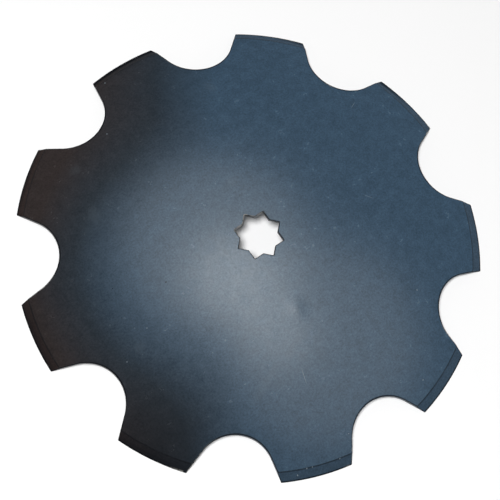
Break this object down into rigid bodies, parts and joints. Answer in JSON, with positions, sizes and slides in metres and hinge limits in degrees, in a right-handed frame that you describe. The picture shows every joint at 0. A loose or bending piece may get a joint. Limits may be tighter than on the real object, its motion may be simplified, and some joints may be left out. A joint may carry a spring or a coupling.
{
  "type": "notched harrow disc blade",
  "caption": "Dished harrow disc blade with round flared notches in its rim, bevelled tooth tips and a star-shaped hole for a square axle.",
  "frame": {"origin": "on the axis of the axle hole, in the plane of the cutting edges that the blade lies on; the box's centre is 2 mm from the axis, because the teeth are odd in number", "axes": "+Z along the axis towards the crown of the dome; +Y through the middle of one tooth and one point of the star hole; +X completes the right-handed frame"},
  "size_m": [0.4064, 0.4025, 0.0383],
  "materials": {
    "painted_steel": "dark blue-grey paint, semi-gloss, on pressed boron steel plate"
  },
  "bodies": {
    "root": {"disc_blade": "painted_steel"}
  },
  "joints": []
}
